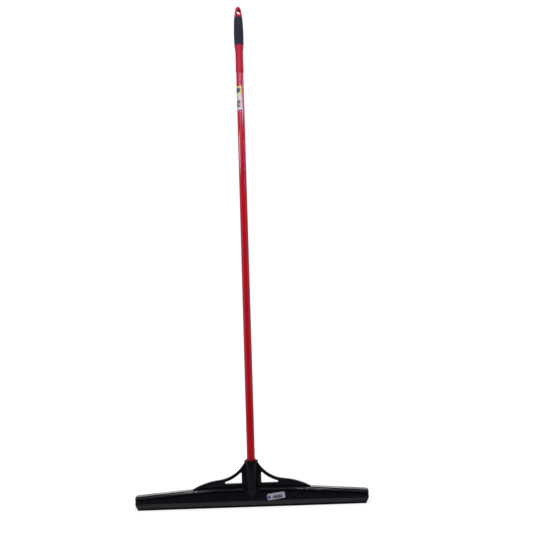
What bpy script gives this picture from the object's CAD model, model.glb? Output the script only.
"""Floor squeegee: a moulded head with foam blades, a film-covered pole and a ribbed grip with an eye.

Metres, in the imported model's frame: the origin is on the floor under the middle of the head, +X runs along
the head, the front faces -Y, and the handle rises along +Z.
"""

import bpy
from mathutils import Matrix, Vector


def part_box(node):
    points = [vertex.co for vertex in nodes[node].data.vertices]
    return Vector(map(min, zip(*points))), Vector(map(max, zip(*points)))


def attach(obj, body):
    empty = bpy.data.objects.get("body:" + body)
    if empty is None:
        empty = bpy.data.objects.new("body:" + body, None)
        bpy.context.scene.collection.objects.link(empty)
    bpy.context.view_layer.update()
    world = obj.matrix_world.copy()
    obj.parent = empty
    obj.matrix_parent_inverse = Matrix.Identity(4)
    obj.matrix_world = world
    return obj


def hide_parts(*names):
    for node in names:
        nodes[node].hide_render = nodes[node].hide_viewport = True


bl_info = {
    "name": "Floor Squeegee",
    "version": (1, 0, 0),
    "blender": (4, 5, 0),
    "location": "3D Viewport > Sidebar > Squeegee",
    "description": "Dresses the packed floor squeegee and sets it on a pale studio floor",
    "category": "Object",
}

from math import cos, pi, radians, sin, sqrt

import bmesh
import bpy
from bpy.props import FloatProperty, FloatVectorProperty, IntProperty, PointerProperty
from mathutils import Matrix, Vector, noise

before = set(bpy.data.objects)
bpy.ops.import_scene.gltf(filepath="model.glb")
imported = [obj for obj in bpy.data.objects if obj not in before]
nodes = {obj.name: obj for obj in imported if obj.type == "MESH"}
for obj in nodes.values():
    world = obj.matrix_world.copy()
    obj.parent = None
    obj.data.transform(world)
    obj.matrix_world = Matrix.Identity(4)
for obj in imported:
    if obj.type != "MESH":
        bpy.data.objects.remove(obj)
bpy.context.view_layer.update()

blade_low, blade_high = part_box("front_blade")
plug_low, plug_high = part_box("threaded_ferrule")
film_low, film_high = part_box("tube_sleeve")
sleeve_low, sleeve_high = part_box("grip_sleeve")
slip_low, slip_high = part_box("head_label")
band_low, band_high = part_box("handle_label")

# Radius or half height at which a skin is closed to a point
POINT = 0.0001
VIOLET_SHEEN = (0.9, 0.62, 1.0, 1)


# Settings


def length(name, default, description):
    """A size in metres that shows in the sidebar."""
    return FloatProperty(
        name=name,
        description=description,
        default=default,
        min=0,
        precision=5,
        subtype="DISTANCE",
        unit="LENGTH",
    )


def share(name, default, description):
    """A number from 0 to 1 that shows in the sidebar."""
    return FloatProperty(
        name=name,
        description=description,
        default=default,
        min=0,
        max=1,
        subtype="FACTOR",
    )


def angle(name, degrees, description):
    """An angle that shows in the sidebar."""
    return FloatProperty(
        name=name,
        description=description,
        default=radians(degrees),
        subtype="ANGLE",
        unit="ROTATION",
    )


def colour(name, default, description):
    """A colour that shows in the sidebar."""
    return FloatVectorProperty(
        name=name,
        description=description,
        default=default,
        min=0,
        max=1,
        subtype="COLOR",
    )


def power(name, default, description):
    """The power of a lamp in watts that shows in the sidebar."""
    return FloatProperty(
        name=name,
        description=description,
        default=default,
        min=0,
        subtype="POWER",
        unit="POWER",
    )


class HeadSettings(bpy.types.PropertyGroup):
    """Moulded head"""

    plastic: colour("Plastic", (0.0050, 0.0047, 0.0074), "Colour of the head's plastic")
    scuff: colour("Scuffs", (0.030, 0.029, 0.033), "Colour of the worn edge of the skirt")
    roughness: share("Roughness", 0.22, "Roughness of the clean plastic")
    edge_round: length("Edge round", 0.00045, "Width of the rounding on the mould's edges")


class BladeSettings(bpy.types.PropertyGroup):
    """Foam blades"""

    foam: colour("Foam", (0.010, 0.010, 0.011), "Colour of the foam")
    thickness: length("Thickness", 0.0075, "Thickness of one strip")
    edge_round: length("Edge round", 0.0006, "Rounding of the cut edges at the floor")
    end_cut: length("End cut", 0.006, "Length of the slanting cut at each lower corner")
    end_cut_height: length("End cut height", 0.011, "Height of the slanting cut at each lower corner")
    cell: length("Cell", 0.0005, "Width of one foam cell")
    ripple: length("Ripple", 0.00012, "How far the cut faces wander inwards")


class FerruleSettings(bpy.types.PropertyGroup):
    """Threaded ferrule"""

    plastic: colour("Plastic", (0.36, 0.006, 0.014), "Colour of the ferrule")
    pitch: length("Pitch", 0.00508, "Rise of the thread in one turn")
    thread_radius: length("Thread radius", 0.0094, "Radius of the thread's crest")
    thread_depth: length("Thread depth", 0.0015, "Depth of the thread")
    collar_height: length("Collar height", 0.0067, "Height of the collar in the socket's mouth")
    collar_round: length("Collar round", 0.0009, "Rounding of the collar's edges")
    plug_radius: length("Plug radius", 0.0101, "Radius of the plug inside the tube")
    bore: length("Bore", 0.0065, "Radius of the plug's bore")
    floor: length("Floor", 0.008, "Thickness of the solid end of the thread")


class PoleSettings(bpy.types.PropertyGroup):
    """Pole and its film"""

    film: colour("Film", (0.42, 0.006, 0.012), "Colour of the film")
    film_shade: colour("Film shade", (0.36, 0.004, 0.009), "Colour of the film's darker patches")
    whitening: colour("Whitening", (0.78, 0.40, 0.54), "Colour where the film is creased white")
    thickness: length("Thickness", 0.00035, "Thickness of the film")
    seam: length("Seam", 0.00006, "Step where the film overlaps itself")
    seam_turn: angle("Seam turn", 118, "Where the seam runs, seen from above")
    wrinkle: length("Wrinkle", 0.00005, "Depth of the film's wrinkles")


class GripSettings(bpy.types.PropertyGroup):
    """Ribbed grip and cap"""

    rubber: colour("Rubber", (0.0105, 0.0095, 0.019), "Colour of the ribbed sleeve")
    plastic: colour("Plastic", (0.42, 0.010, 0.034), "Colour of the cap")
    foot_radius: length("Foot radius", 0.0136, "Radius of the sleeve at its foot")
    belly_radius: length("Belly radius", 0.0143, "Radius of the sleeve where it is thickest")
    belly_rise: length("Belly rise", 0.029, "Height of the thickest place above the foot")
    top_radius: length("Top radius", 0.0126, "Radius of the sleeve at its top")
    stem_radius: length("Stem radius", 0.01195, "Radius of the sleeve's bore round the tube")
    neck_radius: length("Neck radius", 0.01025, "Radius of the sleeve's bore under the tip")
    stem_top: length("Stem top", 0.004, "Height above the tube at which the bore begins to narrow")
    neck_foot: length("Neck foot", 0.012, "Height above the tube at which the bore is narrow")
    lip: length("Lip", 0.0010, "Rounding of the sleeve's two ends")
    ribs: IntProperty(name="Ribs", description="Number of ribs round the sleeve", default=16, min=3)
    groove_floor: length("Groove floor", 0.0129, "Distance of the grooves' floors from the axis")
    groove_radius: length("Groove radius", 0.0015, "Radius of the grooves")
    edge_round: length("Edge round", 0.0004, "Width of the rounding on the cap's edges")


class LabelSettings(bpy.types.PropertyGroup):
    """Paper labels"""

    paper: colour("Paper", (0.34, 0.31, 0.39), "Colour of the slip on the head")
    ink: colour("Ink", (0.058, 0.044, 0.066), "Colour of the printed bars")
    spot: colour("Spot", (0.060, 0.050, 0.210), "Colour of the round spot")
    band_paper: colour("Band paper", (0.60, 0.55, 0.66), "Colour of the band on the pole")
    band_head: colour("Band head", (0.50, 0.55, 0.12), "Colour of the band's upper third")
    length: length("Length", 0.0465, "Length of the slip on the head")
    height: length("Height", 0.0155, "Height of the slip on the head")
    lobe: length("Lobe", 0.015, "Length of the slip's rounded end")
    lobe_round: length("Lobe round", 0.005, "Rounding of the lobe's corners")
    corner: length("Corner", 0.002, "Rounding of the slip's corners")
    thickness: length("Thickness", 0.00015, "Thickness of the paper")
    gap: length("Gap", 0.00003, "Layer of glue under the paper")
    tilt: angle("Tilt", 7.2, "Tilt of the slip on the panel")
    panel_lean: angle("Panel lean", 13.5, "Lean of the panel under the slip")
    band_start: angle("Band start", 112, "Where the band begins, seen from above")
    band_arc: angle("Band arc", 180, "How far the band goes round the pole")


class StudioSettings(bpy.types.PropertyGroup):
    """Floor, lamps and camera"""

    floor: colour("Floor", (0.86, 0.86, 0.86), "Colour of the floor and the wall")
    key_power: power("Key", 19, "Power of the lamp at the front")
    top_power: power("Top", 20, "Power of the lamp behind and above")
    front_power: power("Overhead", 6.5, "Power of the lamp above the front")
    side_power: power("Side", 5, "Power of the lamp at the left")
    strip_power: power("Strip", 4, "Power of the small lamp at the right")
    glint_power: power("Glints", 8.0, "Power of each of the two small lamps for the ridges")
    air: share("Air", 0.22, "Light that comes from all round")
    lens: FloatProperty(
        name="Lens",
        description="Focal length",
        default=40.53,
        min=1,
        subtype="DISTANCE_CAMERA",
        unit="CAMERA",
    )


class SqueegeeSettings(bpy.types.PropertyGroup):
    """Everything that can be changed"""

    head: PointerProperty(type=HeadSettings)
    blades: PointerProperty(type=BladeSettings)
    ferrule: PointerProperty(type=FerruleSettings)
    pole: PointerProperty(type=PoleSettings)
    grip: PointerProperty(type=GripSettings)
    labels: PointerProperty(type=LabelSettings)
    studio: PointerProperty(type=StudioSettings)


# Meshes


def spread(start, end, count):
    """Evenly spaced numbers from start to end."""
    return [start + (end - start) * index / (count - 1) for index in range(count)]


def quarter(steps=4):
    """Angles from a right angle down to zero."""
    return spread(pi / 2, 0, steps + 1)


def held(value, low=0.0, high=1.0):
    """Value kept between two limits."""
    return min(max(value, low), high)


def ring(radius, height, count):
    """Ring of points round the axis. The radius is a number, or a function of the angle and the height."""
    points = []
    for turn in spread(0, 2 * pi, count + 1)[:-1]:
        out = radius(turn, height) if callable(radius) else radius
        points.append((out * cos(turn), out * sin(turn), height))
    return points


def skin(name, rings, ring_closed=True, loop_closed=False):
    """Mesh of quads between rings of points. loop_closed joins the last ring to the first."""
    points = [point for row in rings for point in row]
    around = len(rings[0])
    faces = []
    for row in range(len(rings) if loop_closed else len(rings) - 1):
        below = row * around
        above = (row + 1) % len(rings) * around
        for column in range(around if ring_closed else around - 1):
            beside = (column + 1) % around
            faces.append((below + column, below + beside, above + beside, above + column))
    mesh = bpy.data.meshes.new(name)
    mesh.from_pydata(points, [], faces)
    mesh.validate()
    mesh.update()
    return mesh


def smooth(mesh, sharp_angle=35):
    """Smooth shading, with edges sharper than the angle in degrees left sharp."""
    mesh.polygons.foreach_set("use_smooth", [True] * len(mesh.polygons))
    mesh.set_sharp_from_angle(angle=radians(sharp_angle))


def place(mesh, material, body, node):
    """Object for a mesh, which stands for a CAD node and moves with a body."""
    piece = bpy.data.objects.new(mesh.name, mesh)
    bpy.context.scene.collection.objects.link(piece)
    mesh.materials.append(material)
    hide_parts(node)
    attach(piece, body)


def dress(node, material, sharp_angle=35):
    """Smooth shading and a material for a CAD node."""
    mesh = nodes[node].data
    smooth(mesh, sharp_angle)
    mesh.materials.clear()
    mesh.materials.append(material)
    return nodes[node]


def round_edges(piece, width, edge_angle):
    """Rounds the edges of a piece that are sharper than an angle in degrees."""
    rounding = piece.modifiers.new("mould_edges", "BEVEL")
    rounding.width = width
    rounding.segments = 2
    rounding.limit_method = "ANGLE"
    rounding.angle_limit = radians(edge_angle)
    rounding.use_clamp_overlap = False
    rounding.harden_normals = True


# Materials


def darker(base, factor):
    """Colour times a factor."""
    return [factor * part for part in base]


class Finish:
    """A material under construction: its principled shader and the textures that feed it."""

    def __init__(self, name, base, roughness, specular=0.5):
        self.material = bpy.data.materials.new(name)
        self.material.use_nodes = True
        self.tree = self.material.node_tree
        self.shader = self.tree.nodes["Principled BSDF"]
        self.shader.inputs["Base Color"].default_value = (*base, 1)
        self.shader.inputs["Roughness"].default_value = roughness
        self.shader.inputs["Specular IOR Level"].default_value = specular
        self.place = self.add("ShaderNodeTexCoord").outputs["Object"]

    def feed(self, socket, value):
        """Sets an input: a socket is linked, anything else is its value."""
        if isinstance(value, bpy.types.NodeSocket):
            self.tree.links.new(value, socket)
        else:
            socket.default_value = value

    def add(self, kind, **inputs):
        """New node, with its inputs set by name."""
        node = self.tree.nodes.new(kind)
        for name, value in inputs.items():
            self.feed(node.inputs[name.replace("_", " ")], value)
        return node

    def stretched(self, scale, vector=None):
        """Coordinates stretched by three factors, by default the piece's own."""
        return self.add("ShaderNodeMapping", Vector=vector or self.place, Scale=scale).outputs["Vector"]

    def noise(self, scale, detail=3.0, rough=0.55, stretch=(1, 1, 1)):
        """Soft noise from 0 to 1, with scale in features per metre."""
        where = self.stretched(stretch)
        node = self.add("ShaderNodeTexNoise", Vector=where, Scale=scale, Detail=detail, Roughness=rough)
        return node.outputs["Fac"]

    def math(self, operation, *values):
        """A sum on numbers or sockets."""
        node = self.tree.nodes.new("ShaderNodeMath")
        node.operation = operation
        for socket, value in zip(node.inputs, values):
            self.feed(socket, value)
        return node.outputs["Value"]

    def product(self, *values):
        """Product of several numbers or sockets."""
        result = values[0]
        for value in values[1:]:
            result = self.math("MULTIPLY", result, value)
        return result

    def between(self, value, low, high, to_low=0.0, to_high=1.0):
        """Value mapped from low..high to to_low..to_high, held at the ends."""
        node = self.add("ShaderNodeMapRange", Value=value)
        for socket, number in zip(node.inputs[1:5], (low, high, to_low, to_high)):
            socket.default_value = number
        return node.outputs["Result"]

    def axis(self, name, vector=None):
        """One coordinate of a vector, by default of the piece's own place."""
        return self.add("ShaderNodeSeparateXYZ", Vector=vector or self.place).outputs[name]

    def mixed(self, part, first, second):
        """Colour between two colours or sockets."""
        node = self.tree.nodes.new("ShaderNodeMix")
        node.data_type = "RGBA"
        self.feed(node.inputs[0], part)
        for index, value in ((6, first), (7, second)):
            linked = isinstance(value, bpy.types.NodeSocket)
            self.feed(node.inputs[index], value if linked else (*value, 1))
        return node.outputs[2]

    def colour(self, socket):
        """Feeds the base colour."""
        self.tree.links.new(socket, self.shader.inputs["Base Color"])

    def roughness(self, socket):
        """Feeds the roughness."""
        self.tree.links.new(socket, self.shader.inputs["Roughness"])

    def relief(self, *layers):
        """Bump from layers of (height socket, distance in metres)."""
        bump = None
        for height, distance in layers:
            below = bump
            bump = self.add("ShaderNodeBump", Height=height, Distance=distance, Strength=1.0)
            if below:
                self.tree.links.new(below.outputs["Normal"], bump.inputs["Normal"])
        self.tree.links.new(bump.outputs["Normal"], self.shader.inputs["Normal"])


def head_plastic(settings):
    """Glossy black polypropylene: flow marks, a fine grain, and a scuffed skirt edge."""
    finish = Finish("head_plastic", settings.plastic, settings.roughness, 0.075)
    flow = finish.noise(26, 2.0, 0.5, (0.35, 1, 1))
    grain = finish.noise(2600, 2.0)
    scratch = finish.noise(900, 1.0, 0.5, (0.04, 1, 1))
    low_edge = finish.between(finish.axis("Z"), 0.0135, 0.0070)
    patches = finish.between(finish.noise(210, 4.0, 0.7, (0.25, 1, 1)), 0.52, 0.72)
    worn = finish.product(low_edge, patches)
    clean = finish.mixed(finish.between(flow, 0.35, 0.7), settings.plastic, darker(settings.plastic, 1.5))
    nook = finish.add("ShaderNodeAmbientOcclusion", Distance=0.004).outputs["AO"]
    shaded = finish.mixed(finish.between(nook, 0.62, 0.97), darker(settings.plastic, 0.15), clean)
    finish.colour(finish.mixed(worn, shaded, settings.scuff))
    clouding = finish.noise(60, 3.0)
    sheen = finish.between(clouding, 0.3, 0.7, settings.roughness - 0.05, settings.roughness + 0.08)
    finish.roughness(finish.math("MULTIPLY_ADD", worn, 0.35, sheen))
    finish.relief((flow, 0.0012), (scratch, 0.00003), (grain, 0.00001))
    crest_gloss(finish)
    return finish.material


def crest_gloss(finish):
    """Thin clear coat over shallow dents, on the outer ridges alone, which mirrors the lamps as glints."""
    above_foot = finish.between(finish.axis("Z"), 0.036, 0.039)
    below_top = finish.between(finish.axis("Z"), 0.0475, 0.049, 1.0, 0.0)
    outwards = finish.between(finish.math("ABSOLUTE", finish.axis("X")), 0.10, 0.13, 0.0, 0.5)
    dents = finish.noise(110, 1.0, 0.5, (0.5, 1, 1))
    dented = finish.add("ShaderNodeBump", Height=dents, Distance=0.0015, Strength=1.0)
    finish.feed(finish.shader.inputs["Coat Normal"], dented.outputs["Normal"])
    finish.feed(finish.shader.inputs["Coat Weight"], finish.product(above_foot, below_top, outwards))
    finish.shader.inputs["Coat Roughness"].default_value = 0.04


def blade_foam(settings):
    """Black foam with fine closed cells, cut open on its faces."""
    finish = Finish("blade_foam", settings.foam, 0.92, 0.12)
    pores = finish.add("ShaderNodeTexVoronoi", Vector=finish.place, Scale=1 / settings.cell)
    cells = pores.outputs["Distance"]
    coarse = finish.noise(380, 3.0, 0.6)
    tone = finish.between(finish.math("ADD", cells, coarse), 0.5, 1.3)
    finish.colour(finish.mixed(tone, darker(settings.foam, 0.6), darker(settings.foam, 1.9)))
    finish.relief((cells, 0.00022), (coarse, 0.0002))
    return finish.material


def red_plastic(name, base):
    """Moulded red plastic with a satin mould grain."""
    finish = Finish(name, base, 0.38, 0.16)
    finish.shader.inputs["Specular Tint"].default_value = VIOLET_SHEEN
    cloud = finish.noise(55, 3.0)
    grain = finish.noise(2200, 2.0)
    finish.colour(finish.mixed(finish.between(cloud, 0.3, 0.75), base, darker(base, 0.8)))
    finish.roughness(finish.between(cloud, 0.3, 0.7, 0.32, 0.44))
    finish.relief((cloud, 0.0002), (grain, 0.000015))
    return finish.material


def whitened(finish, turn, heights, turns):
    """Share of whitening along a slanting crease between two heights and two turns round the pole."""
    up = finish.axis("Z")
    low, high = heights
    line = finish.between(up, low, high, *turns)
    off = finish.math("ABSOLUTE", finish.math("SUBTRACT", turn, line))
    crease = finish.between(off, 0.06, 0.20, 0.85, 0.0)
    fade_in = finish.between(up, low, low + 0.04)
    fade_out = finish.between(up, high - 0.03, high, 1.0, 0.0)
    return finish.product(crease, finish.product(fade_in, fade_out))


def pole_film(settings):
    """Red film drawn over the tube: lengthwise draw lines, clouding, and two creases turned white."""
    finish = Finish("pole_film", settings.film, 0.22, 0.30)
    finish.shader.inputs["Specular Tint"].default_value = VIOLET_SHEEN
    lines = finish.noise(420, 3.0, 0.6, (1, 1, 0.012))
    clouds = finish.noise(9, 3.0, 0.55, (1.6, 1.6, 1))
    creases = finish.noise(160, 3.0, 0.6, (1, 1, 0.35))
    film = finish.mixed(finish.between(clouds, 0.34, 0.68), settings.film, settings.film_shade)
    turn = finish.math("ARCTAN2", finish.axis("X"), finish.math("MULTIPLY", finish.axis("Y"), -1))
    right_crease = whitened(finish, turn, (1.035, 1.205), (0.35, 1.12))
    left_crease = whitened(finish, turn, (0.885, 1.030), (-0.64, -0.58))
    streaks = finish.math("ADD", right_crease, left_crease)
    finish.colour(finish.mixed(streaks, film, settings.whitening))
    finish.roughness(finish.between(lines, 0.3, 0.7, 0.12, 0.20))
    finish.relief((clouds, 0.0004), (creases, 0.00002), (lines, 0.000008))
    return finish.material


def grip_rubber(settings):
    """Soft black rubber: a dull bloom over a fine eroded grain."""
    finish = Finish("grip_rubber", settings.rubber, 0.5, 0.12)
    bloom = finish.noise(120, 4.0, 0.6)
    grain = finish.noise(3000, 2.0)
    bloomed = finish.between(bloom, 0.35, 0.7)
    finish.colour(finish.mixed(bloomed, settings.rubber, darker(settings.rubber, 1.7)))
    finish.roughness(finish.between(bloom, 0.3, 0.7, 0.42, 0.62))
    finish.relief((bloom, 0.00008), (grain, 0.00003))
    return finish.material


def tube_steel():
    """Thin steel tube with draw marks along it."""
    finish = Finish("tube_steel", (0.52, 0.53, 0.55), 0.35)
    finish.shader.inputs["Metallic"].default_value = 1.0
    lines = finish.noise(900, 3.0, 0.6, (1, 1, 0.01))
    finish.colour(finish.mixed(finish.between(lines, 0.3, 0.7), (0.45, 0.46, 0.48), (0.62, 0.63, 0.65)))
    finish.roughness(finish.between(lines, 0.3, 0.7, 0.28, 0.45))
    finish.relief((lines, 0.00002))
    return finish.material


class Print:
    """Print on a sheet of paper, laid out in millimetres from the sheet's lower left corner."""

    def __init__(self, name, paper, roughness):
        self.finish = Finish(name, paper, roughness, 0.3)
        self.where = self.finish.add("ShaderNodeUVMap").outputs["UV"]
        self.across = self.finish.axis("X", self.where)
        self.along = self.finish.axis("Y", self.where)
        self.fibre = self.finish.noise(1500, 3.0)
        self.tone = self.finish.mixed(self.fibre, darker(paper, 0.9), darker(paper, 1.06))

    def box(self, left, foot, right, top):
        """1 inside a box, with edges half a millimetre soft."""
        sides = []
        for value, low, high in ((self.across, left, right), (self.along, foot, top)):
            sides.append(self.finish.between(value, low, low + 0.5))
            sides.append(self.finish.between(value, high, high - 0.5))
        return self.finish.product(*sides)

    def bars(self, box, stretch, bias):
        """A row of bars of uneven width inside a box."""
        where = self.finish.stretched(stretch, self.where)
        width = self.finish.add("ShaderNodeTexNoise", Vector=where, Scale=1.0, Detail=1.0).outputs["Fac"]
        return self.finish.product(self.box(*box), self.finish.between(width, bias, bias + 0.08))

    def disc(self, middle, radius):
        """1 inside a round spot."""
        gap = self.finish.tree.nodes.new("ShaderNodeVectorMath")
        gap.operation = "DISTANCE"
        self.finish.feed(gap.inputs[0], self.where)
        gap.inputs[1].default_value = (*middle, 0)
        return self.finish.between(gap.outputs["Value"], radius, radius - 0.5)

    def stamp(self, part, ink):
        """Prints an ink over the paper where part is 1."""
        self.tone = self.finish.mixed(part, self.tone, ink)

    def done(self):
        """The finished material."""
        self.finish.colour(self.tone)
        self.finish.relief((self.fibre, 0.00003))
        return self.finish.material


def slip_print(settings):
    """Lilac paper with a plain spot on the lobe and two rows of plain bars."""
    tall_row = (15, 1.8, 40, 9.6)
    fine_row = (15, 11.2, 40, 12.6)
    lobe_middle, spot_radius = (4.8, 7.0), 4.8
    sheet = Print("label_paper", settings.paper, 0.5)
    sheet.stamp(sheet.bars(tall_row, (0.55, 0.05, 1), 0.32), settings.ink)
    sheet.stamp(sheet.bars(fine_row, (1.3, 0.1, 1), 0.50), darker(settings.paper, 0.6))
    sheet.stamp(sheet.disc(lobe_middle, spot_radius), settings.spot)
    return sheet.done()


def band_print(settings):
    """White paper: its upper third yellow-green with a plain spot, and a plain ring and bars below."""
    bar_field = (14, 7, 31, 31)
    ring_middle, ring_radius, ring_hole = (21, 38), 4.4, 2.2
    head_field = (-1, 46.5, 36, 73)
    spot_middle, spot_radius = (23, 60), 8.4
    sheet = Print("pole_label_paper", settings.band_paper, 0.45)
    sheet.stamp(sheet.bars(bar_field, (0.04, 0.42, 1), 0.38), darker(settings.band_paper, 0.20))
    sheet.stamp(sheet.disc(ring_middle, ring_radius), darker(settings.band_paper, 0.55))
    sheet.stamp(sheet.disc(ring_middle, ring_hole), settings.band_paper)
    sheet.stamp(sheet.box(*head_field), settings.band_head)
    sheet.stamp(sheet.disc(spot_middle, spot_radius), settings.spot)
    return sheet.done()


# Pieces


class SQUEEGEE_OT_head(bpy.types.Operator):
    """Finish the moulded head"""

    bl_idname = "squeegee.head"
    bl_label = "Head"

    def execute(self, context):
        """Gives the head its plastic and softens the mould's edges."""
        settings = context.scene.squeegee.head
        head = dress("head_body", head_plastic(settings), 30)
        merge = head.modifiers.new("flat_faces", "DECIMATE")
        merge.decimate_type = "DISSOLVE"
        merge.angle_limit = radians(0.5)
        round_edges(head, settings.edge_round, 40)
        return {"FINISHED"}


class SQUEEGEE_OT_blades(bpy.types.Operator):
    """Cut the two foam blades"""

    bl_idname = "squeegee.blades"
    bl_label = "Foam Blades"

    def execute(self, context):
        """Sweeps each blade's section along the head, with rounded floor edges and wandering faces."""
        settings = context.scene.squeegee.blades
        material = blade_foam(settings)
        for side, node in ((-1, "front_blade"), (1, "rear_blade")):
            rings = [self.section(settings, side, x) for x in self.stations(settings)]
            mesh = skin(node + "_foam", rings)
            self.close_ends(mesh, len(rings[0]))
            smooth(mesh, 50)
            place(mesh, material, "head", node)
        return {"FINISHED"}

    def stations(self, settings):
        """Places along the head: close together where the ends are cut, and even between them."""
        ends = spread(0, settings.end_cut, 5)
        middle = spread(blade_low.x + settings.end_cut, blade_high.x - settings.end_cut, 240)[1:-1]
        return [blade_low.x + x for x in ends] + middle + [blade_high.x - x for x in reversed(ends)]

    def section(self, settings, side, x):
        """Section of one blade at x: it leans with its slot and stands flat on the floor."""
        foot = abs(blade_low.y)
        heel = foot - settings.thickness
        lean = (heel - abs(blade_high.y)) / blade_high.z
        corner = settings.edge_round
        to_end = min(x - blade_low.x, blade_high.x - x)
        calm_stretch = 0.004
        ripple = settings.ripple * held(to_end / calm_stretch)
        outer_face, inner_face = 1, 5
        levels = [0.003, 0.006, 0.010, 0.016, blade_high.z]

        def wander(height, face):
            slow = noise.noise(Vector((x * 34, height * 60, face)))
            quick = noise.noise(Vector((x * 150, height * 90, face + 7)))
            return ripple * (0.6 + 0.5 * slow + 0.25 * quick)

        outline = []
        for turn in quarter():
            out = foot - corner + corner * cos(turn) - wander(0, outer_face)
            outline.append((out, corner - corner * sin(turn)))
        for height in levels:
            outline.append((foot - lean * height - wander(height, outer_face), height))
        for height in reversed(levels):
            outline.append((heel - lean * height + wander(height, inner_face), height))
        for turn in reversed(quarter()):
            out = heel + corner - corner * cos(turn) + wander(0, inner_face)
            outline.append((out, corner - corner * sin(turn)))
        top = blade_high.z
        lift = settings.end_cut_height * held(1 - to_end / settings.end_cut)
        return [(x, side * out, top - (top - height) * (1 - lift / top)) for out, height in outline]

    def close_ends(self, mesh, around):
        """Closes both ends of the strip and turns its faces outwards."""
        shape = bmesh.new()
        shape.from_mesh(mesh)
        shape.verts.ensure_lookup_table()
        shape.faces.new(shape.verts[:around])
        shape.faces.new(shape.verts[-around:])
        bmesh.ops.recalc_face_normals(shape, faces=shape.faces)
        shape.to_mesh(mesh)
        shape.free()


class SQUEEGEE_OT_ferrule(bpy.types.Operator):
    """Turn the ferrule and cut its thread"""

    bl_idname = "squeegee.ferrule"
    bl_label = "Threaded Ferrule"

    def execute(self, context):
        """Makes one skin from the thread's tip to the collar's top and down the plug's bore."""
        settings = context.scene.squeegee.ferrule
        around = 144
        collar_foot = film_low.z - settings.collar_height

        def shank(turn, height):
            return self.thread(settings, turn, height, collar_foot)

        outline = [(POINT, plug_low.z)]
        outline += [(shank, height) for height in spread(plug_low.z, collar_foot - 0.0002, 170)]
        outline += self.collar(settings, collar_foot)
        outline += [(settings.plug_radius, film_low.z), (settings.plug_radius, plug_high.z)]
        outline += [(settings.bore, plug_high.z), (settings.bore, plug_low.z + settings.floor)]
        outline += [(POINT, plug_low.z + settings.floor)]
        rings = [ring(radius, height, around) for radius, height in outline]
        mesh = skin("ferrule", rings, loop_closed=True)
        smooth(mesh, 40)
        material = red_plastic("ferrule_plastic", settings.plastic)
        place(mesh, material, "handle", "threaded_ferrule")
        return {"FINISHED"}

    def collar(self, settings, collar_foot):
        """Outline of the collar, rounded above and below."""
        corner = settings.collar_round
        inner = plug_high.x - corner
        low = collar_foot + corner
        high = film_low.z - corner
        outline = [(inner + corner * cos(turn), low - corner * sin(turn)) for turn in quarter()]
        for turn in reversed(quarter()):
            outline.append((inner + corner * cos(turn), high + corner * sin(turn)))
        return outline

    def thread(self, settings, turn, height, collar_foot):
        """Radius of the shank at an angle and height: a blunt thread that fades in and out."""
        half_crest, flank_width = 0.14, 0.20
        fade_stretch, plain_stretch, tip_taper = 0.003, 0.001, 0.0008
        phase = ((height - plug_low.z) / settings.pitch - turn / (2 * pi)) % 1
        flank = held((abs(phase - 0.5) - half_crest) / flank_width)
        fade_in = held((height - plug_low.z) / fade_stretch)
        fade_out = held((collar_foot - height - plain_stretch) / fade_stretch)
        root = settings.thread_radius - settings.thread_depth - tip_taper * (1 - fade_in)
        return root + settings.thread_depth * (1 - flank) * fade_in * fade_out


class SQUEEGEE_OT_pole(bpy.types.Operator):
    """Draw the film over the pole"""

    bl_idname = "squeegee.pole"
    bl_label = "Pole"

    def execute(self, context):
        """Makes the film with its lengthwise seam and faint wrinkles, and finishes the steel tube."""
        settings = context.scene.squeegee.pole
        around = 120
        bore = film_high.x - settings.thickness

        def face(turn, height):
            return self.radius(settings, turn, height)

        rings = [ring(face, height, around) for height in spread(film_low.z, film_high.z, 260)]
        rings += [ring(bore, height, around) for height in (film_high.z, film_low.z)]
        mesh = skin("film", rings, loop_closed=True)
        smooth(mesh, 50)
        place(mesh, pole_film(settings), "handle", "tube_sleeve")
        dress("handle_tube", tube_steel())
        return {"FINISHED"}

    def radius(self, settings, turn, height):
        """Radius of the film's outer face: it rises to the seam's edge and drops behind it."""
        past_seam = (turn - settings.seam_turn) % (2 * pi)
        lap = held(1 - past_seam / radians(24))
        edge = held(past_seam / radians(2.5))
        crease = 0.5 + 0.5 * noise.noise(Vector((2.2 * cos(turn), 2.2 * sin(turn), height * 16)))
        return film_high.x - settings.seam * (1 - lap * edge) - settings.wrinkle * crease


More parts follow.
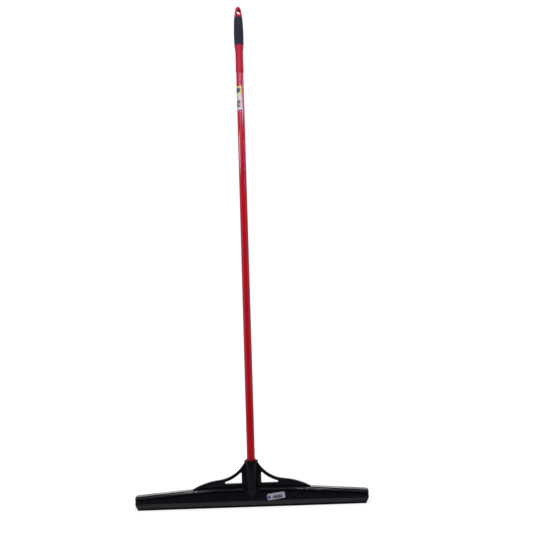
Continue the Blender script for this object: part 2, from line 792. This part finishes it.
class SQUEEGEE_OT_grip(bpy.types.Operator):
    """Mould the cap and the ribbed grip"""

    bl_idname = "squeegee.grip"
    bl_label = "Grip"

    def execute(self, context):
        """Makes the ribbed sleeve with its rounded lips, and finishes the cap with its hanging tip."""
        settings = context.scene.squeegee.grip
        around = settings.ribs * 16
        lip = settings.lip
        low, high = sleeve_low.z + lip, sleeve_high.z - lip

        def face(turn, height):
            trim = lip - sqrt(max(lip ** 2 - max(low - height, height - high, 0) ** 2, 0))
            return self.radius(settings, turn, held(height, low, high)) - trim

        heights = [low - lip * sin(turn) for turn in quarter()]
        heights += spread(low, high, 110)[1:-1]
        heights += [high + lip * sin(turn) for turn in reversed(quarter())]
        rings = [ring(face, height, around) for height in heights]
        bore = [
            (settings.neck_radius, sleeve_high.z),
            (settings.neck_radius, film_high.z + settings.neck_foot),
            (settings.stem_radius, film_high.z + settings.stem_top),
            (settings.stem_radius, sleeve_low.z),
        ]
        rings += [ring(radius, height, around) for radius, height in bore]
        mesh = skin("ribbed_sleeve", rings, loop_closed=True)
        smooth(mesh, 60)
        place(mesh, grip_rubber(settings), "handle", "grip_sleeve")
        cap = dress("grip_core", red_plastic("cap_plastic", settings.plastic), 40)
        round_edges(cap, settings.edge_round, 45)
        return {"FINISHED"}

    def radius(self, settings, turn, height):
        """Radius of the sleeve: a swelling outline, cut by round grooves whose edges are softened."""
        outer = self.outline(settings, height)
        centre = settings.groove_floor + settings.groove_radius
        pitch = 2 * pi / settings.ribs
        off = (turn + pitch / 2) % pitch - pitch / 2
        reach = settings.groove_radius ** 2 - (centre * sin(off)) ** 2
        groove = centre * cos(off) - sqrt(reach) if reach > 0 else outer + 0.001
        blend = 0.00035
        gap = max(blend - abs(outer - groove), 0) / blend
        return min(outer, groove) - gap * gap * blend / 4

    def outline(self, settings, height):
        """Outer radius of the sleeve at a height, on the arc through its foot, belly and top."""
        foot = Vector((settings.foot_radius, sleeve_low.z))
        belly = Vector((settings.belly_radius, sleeve_low.z + settings.belly_rise)) - foot
        top = Vector((settings.top_radius, sleeve_high.z)) - foot
        cross = 2 * (belly.x * top.y - belly.y * top.x)
        centre_x = (top.y * belly.length_squared - belly.y * top.length_squared) / cross
        centre_y = (belly.x * top.length_squared - top.x * belly.length_squared) / cross
        bow = Vector((centre_x, centre_y)).length
        return foot.x + centre_x + sqrt(bow ** 2 - (height - foot.y - centre_y) ** 2)


class SQUEEGEE_OT_labels(bpy.types.Operator):
    """Print and stick on the paper labels"""

    bl_idname = "squeegee.labels"
    bl_label = "Paper Labels"

    def execute(self, context):
        """Lays a slip on the front panel and a band round part of the pole."""
        settings = context.scene.squeegee.labels
        self.slip(settings)
        self.band(settings)
        return {"FINISHED"}

    def slip(self, settings):
        """Slip with a rounded lobe, pressed on the leaning panel and lifting a little at its corners."""
        lean = settings.panel_lean
        level = Vector((1, 0, 0))
        out = Vector((0, -cos(lean), sin(lean)))
        up = Vector((0, sin(lean), cos(lean)))
        along = level * cos(settings.tilt) + up * sin(settings.tilt)
        across = up * cos(settings.tilt) - level * sin(settings.tilt)
        middle = (slip_low + slip_high) / 2
        end = settings.length / 2

        def face(lift):
            rows = []
            for x in spread(-end, end, 101):
                tall = self.half_height(settings, x)
                row = [(part, lift + self.curl(settings, x, part)) for part in spread(-1, 1, 25)]
                rows.append([middle + along * x + across * part * tall + out * rise for part, rise in row])
            return rows

        half = settings.thickness / 2
        mesh = self.sheet("head_slip", face(half), face(-half), settings.length, settings.height)
        place(mesh, slip_print(settings), "head", "head_label")

    def curl(self, settings, x, part):
        """How far the paper lifts: a little at its corners and along faint creases."""
        most = 0.00006
        corner = abs(2 * x / settings.length) ** 6 * abs(part) ** 3
        crease = 0.3 * max(noise.noise(Vector((x * 90, part * 2, 3))), 0)
        return most * held(corner + crease)

    def half_height(self, settings, x):
        """Half of the slip's height at x from its middle: the taller of its lobe and its strip."""
        end = settings.length / 2
        neck = settings.lobe - end
        tall = POINT
        for left, right, corner in (
            (-end, neck, settings.lobe_round),
            (neck - settings.corner, end, settings.corner),
        ):
            inside = min(x - left, right - x)
            if inside >= 0:
                short = max(corner - inside, 0)
                tall = max(tall, settings.height / 2 - corner + sqrt(corner ** 2 - short ** 2))
        return tall

    def band(self, settings):
        """Band that follows the pole, with two free edges."""
        turns = spread(settings.band_start, settings.band_start + settings.band_arc, 61)
        heights = spread(band_low.z, band_high.z, 97)
        inner = film_high.x + settings.gap
        outer = inner + settings.thickness

        def column(radius, turn):
            return [Vector((radius * cos(turn), radius * sin(turn), z)) for z in heights]

        def face(radius):
            return [column(radius, turn) for turn in turns]

        wide = settings.band_arc * outer
        mesh = self.sheet("pole_band", face(outer), face(inner), wide, band_high.z - band_low.z)
        place(mesh, band_print(settings), "handle", "handle_label")

    def sheet(self, name, front, back, wide, tall):
        """Closed sheet between a front and a back grid of points, with its print in millimetres."""
        millimetres = 1000
        columns, rows = len(front), len(front[0])
        mesh = skin(name, [row + row_behind[::-1] for row, row_behind in zip(front, back)])
        shape = bmesh.new()
        shape.from_mesh(mesh)
        shape.verts.ensure_lookup_table()
        for start in (0, len(shape.verts) - 2 * rows):
            for row in range(rows - 1):
                behind = 2 * rows - 2 - row
                corners = (row, row + 1, behind, behind + 1)
                shape.faces.new([shape.verts[start + index] for index in corners])
        layer = shape.loops.layers.uv.new("print")
        for face in shape.faces:
            for loop in face.loops:
                column, row = divmod(loop.vert.index, 2 * rows)
                row = min(row, 2 * rows - 1 - row)
                across = column / (columns - 1) * wide
                along = row / (rows - 1) * tall
                loop[layer].uv = (across * millimetres, along * millimetres)
        bmesh.ops.recalc_face_normals(shape, faces=shape.faces)
        shape.to_mesh(mesh)
        shape.free()
        smooth(mesh, 50)
        return mesh


class SQUEEGEE_OT_stage(bpy.types.Operator):
    """Set up the floor, lamps and camera"""

    bl_idname = "squeegee.stage"
    bl_label = "Studio"

    def execute(self, context):
        """Stands the squeegee on a pale floor that curves up into a wall, under soft lamps."""
        settings = context.scene.squeegee.studio
        self.floor(settings)
        self.card()
        self.world(context, settings)
        self.lamp("key_lamp", (-0.7, -2.3, 2.4), (0, 0, 1.0), 1.8, 1.1, settings.key_power)
        self.lamp("top_lamp", (0.1, 1.5, 2.6), (0, 0, 0.3), 2.4, 1.0, settings.top_power)
        self.lamp("front_lamp", (-0.2, -0.9, 2.4), (0, 0, 0), 1.6, 0.5, settings.front_power)
        self.lamp("side_lamp", (-2.4, -0.6, 1.2), (0, 0, 0.7), 0.9, 1.8, settings.side_power)
        self.lamp("strip_lamp", (1.3, -0.75, 1.66), (0, 0, 1.1), 0.12, 0.7, settings.strip_power)
        self.lamp("left_glint", (-0.70, -1.5, 1.9), (0, 0, 0.1), 0.14, 0.14, settings.glint_power)
        self.lamp("right_glint", (0.34, -1.5, 1.9), (0, 0, 0.1), 0.14, 0.14, settings.glint_power)
        self.camera(context, settings)
        context.scene.view_settings.view_transform = "Standard"
        return {"FINISHED"}

    def stand(self, name, outline, half_width, material):
        """Stage sheet with an outline of (Y, Z) points, drawn out along X."""
        rings = [[(x, y, z) for y, z in outline] for x in spread(-half_width, half_width, 3)]
        mesh = skin(name, rings, ring_closed=False)
        smooth(mesh, 60)
        mesh.materials.append(material)
        sheet = bpy.data.objects.new(name, mesh)
        bpy.context.scene.collection.objects.link(sheet)
        return sheet

    def floor(self, settings):
        """Floor and wall in one sheet, bent by a large radius between them."""
        bend, back, front, side, top = 2.0, 5.0, -6.0, 7.0, 7.0
        outline = [(front, 0.0), (back - bend, 0.0)]
        outline += [(back - bend + bend * sin(a), bend - bend * cos(a)) for a in spread(0, pi / 2, 25)[1:]]
        outline.append((back, top))
        self.stand("studio_floor", outline, side, self.floor_paint(settings))

    def card(self):
        """Black card on the floor and behind the camera, out of the picture, for the front to mirror."""
        paint = Finish("black_card", (0.01, 0.01, 0.01), 0.9, 0.0)
        near, far, low, high, side = -0.32, -3.2, 0.004, 3.0, 3.0
        outline = [(near, low), (far, low), (far, high)]
        card = self.stand("black_card", outline, side, paint.material)
        card.visible_camera = False
        card.visible_diffuse = False
        card.visible_shadow = False
        card.visible_transmission = False

    def floor_paint(self, settings):
        """Pale paint that the camera and mirrors see near white, with the object's shadow still on it."""
        finish = Finish("floor_paint", settings.floor, 0.9, 0.1)
        tree = finish.tree
        ray = finish.add("ShaderNodeLightPath").outputs
        mirrored = finish.math("MAXIMUM", ray["Is Glossy Ray"], ray["Is Transmission Ray"])
        seen = finish.math("MAXIMUM", ray["Is Camera Ray"], mirrored)
        pale = finish.add("ShaderNodeBsdfDiffuse", Color=(0.42, 0.42, 0.42, 1))
        reach = tree.nodes.new("ShaderNodeVectorMath")
        reach.operation = "LENGTH"
        tree.links.new(finish.place, reach.inputs[0])
        near, far = 0.4, 1.1
        under_shadow, clear_floor = 0.68, 0.98
        lift = finish.between(reach.outputs["Value"], near, far, under_shadow, clear_floor)
        glow = finish.add("ShaderNodeEmission", Color=(1, 1, 1, 1), Strength=lift)
        both = tree.nodes.new("ShaderNodeAddShader")
        tree.links.new(pale.outputs[0], both.inputs[0])
        tree.links.new(glow.outputs[0], both.inputs[1])
        choice = tree.nodes.new("ShaderNodeMixShader")
        tree.links.new(seen, choice.inputs[0])
        tree.links.new(finish.shader.outputs[0], choice.inputs[1])
        tree.links.new(both.outputs[0], choice.inputs[2])
        tree.links.new(choice.outputs[0], tree.nodes["Material Output"].inputs["Surface"])
        return finish.material

    def world(self, context, settings):
        """Even light from all round, and white where the camera looks past the wall."""
        world = bpy.data.worlds.new("studio_air")
        context.scene.world = world
        world.use_nodes = True
        tree = world.node_tree
        sky = tree.nodes["Background"]
        ray = tree.nodes.new("ShaderNodeLightPath").outputs
        seen = ray["Is Camera Ray"]
        for name in ("Is Glossy Ray", "Is Transmission Ray"):
            either = tree.nodes.new("ShaderNodeMath")
            either.operation = "MAXIMUM"
            tree.links.new(seen, either.inputs[0])
            tree.links.new(ray[name], either.inputs[1])
            seen = either.outputs[0]
        level = tree.nodes.new("ShaderNodeMapRange")
        level.inputs["To Min"].default_value = settings.air
        level.inputs["To Max"].default_value = 1.0
        tree.links.new(seen, level.inputs["Value"])
        sky.inputs["Color"].default_value = (1, 1, 1, 1)
        tree.links.new(level.outputs[0], sky.inputs["Strength"])

    def lamp(self, name, spot, target, wide, tall, power):
        """Soft rectangular lamp at a spot, turned to a target."""
        light = bpy.data.lights.new(name, "AREA")
        light.shape = "RECTANGLE"
        light.size = wide
        light.size_y = tall
        light.energy = power
        lamp = bpy.data.objects.new(name, light)
        bpy.context.scene.collection.objects.link(lamp)
        lamp.location = spot
        lamp.rotation_euler = (Vector(target) - Vector(spot)).to_track_quat("-Z", "Y").to_euler()
        lamp.visible_camera = False

    def camera(self, context, settings):
        """Camera at knee height, a step in front, tipped up and rolled a little."""
        spot = Vector((0.063369, -1.641665, 0.368523))
        pitch, yaw, roll = radians(9.006), radians(-0.172), radians(-1.985)
        ahead = Vector((sin(yaw) * cos(pitch), cos(yaw) * cos(pitch), sin(pitch)))
        level = Vector((cos(yaw), -sin(yaw), 0))
        above = level.cross(ahead)
        right = level * cos(roll) + above * sin(roll)
        up = above * cos(roll) - level * sin(roll)
        data = bpy.data.cameras.new("camera")
        data.sensor_width = 36
        data.lens = settings.lens
        data.clip_start = 0.05
        data.clip_end = 50
        camera = bpy.data.objects.new("camera", data)
        context.scene.collection.objects.link(camera)
        turned = Matrix((right, up, -ahead)).transposed().to_4x4()
        camera.matrix_world = Matrix.Translation(spot) @ turned
        context.scene.camera = camera


class SQUEEGEE_PT_panel(bpy.types.Panel):
    """Squeegee panel in the 3D view's sidebar"""

    bl_idname = "SQUEEGEE_PT_panel"
    bl_label = "Floor Squeegee"
    bl_space_type = "VIEW_3D"
    bl_region_type = "UI"
    bl_category = "Squeegee"

    def draw(self, context):
        """Lists each group of settings above the button that builds it."""
        settings = context.scene.squeegee
        for group, step in GROUPS:
            box = self.layout.box()
            values = getattr(settings, group)
            for name in values.bl_rna.properties.keys():
                if name not in ("rna_type", "name"):
                    box.prop(values, name)
            box.operator(step.bl_idname)


GROUPS = (
    ("head", SQUEEGEE_OT_head),
    ("blades", SQUEEGEE_OT_blades),
    ("ferrule", SQUEEGEE_OT_ferrule),
    ("pole", SQUEEGEE_OT_pole),
    ("grip", SQUEEGEE_OT_grip),
    ("labels", SQUEEGEE_OT_labels),
    ("studio", SQUEEGEE_OT_stage),
)

CLASSES = (
    HeadSettings,
    BladeSettings,
    FerruleSettings,
    PoleSettings,
    GripSettings,
    LabelSettings,
    StudioSettings,
    SqueegeeSettings,
    SQUEEGEE_OT_head,
    SQUEEGEE_OT_blades,
    SQUEEGEE_OT_ferrule,
    SQUEEGEE_OT_pole,
    SQUEEGEE_OT_grip,
    SQUEEGEE_OT_labels,
    SQUEEGEE_OT_stage,
    SQUEEGEE_PT_panel,
)


def register():
    """Registers the classes and hangs the settings on the scene."""
    for item in CLASSES:
        bpy.utils.register_class(item)
    bpy.types.Scene.squeegee = PointerProperty(type=SqueegeeSettings)


def unregister():
    """Takes the settings off the scene and removes the classes."""
    del bpy.types.Scene.squeegee
    for item in reversed(CLASSES):
        bpy.utils.unregister_class(item)


def main():
    register()
    bpy.ops.squeegee.head()
    bpy.ops.squeegee.blades()
    bpy.ops.squeegee.ferrule()
    bpy.ops.squeegee.pole()
    bpy.ops.squeegee.grip()
    bpy.ops.squeegee.labels()
    bpy.ops.squeegee.stage()
    bpy.context.view_layer.update()


if __name__ == "__main__":
    main()
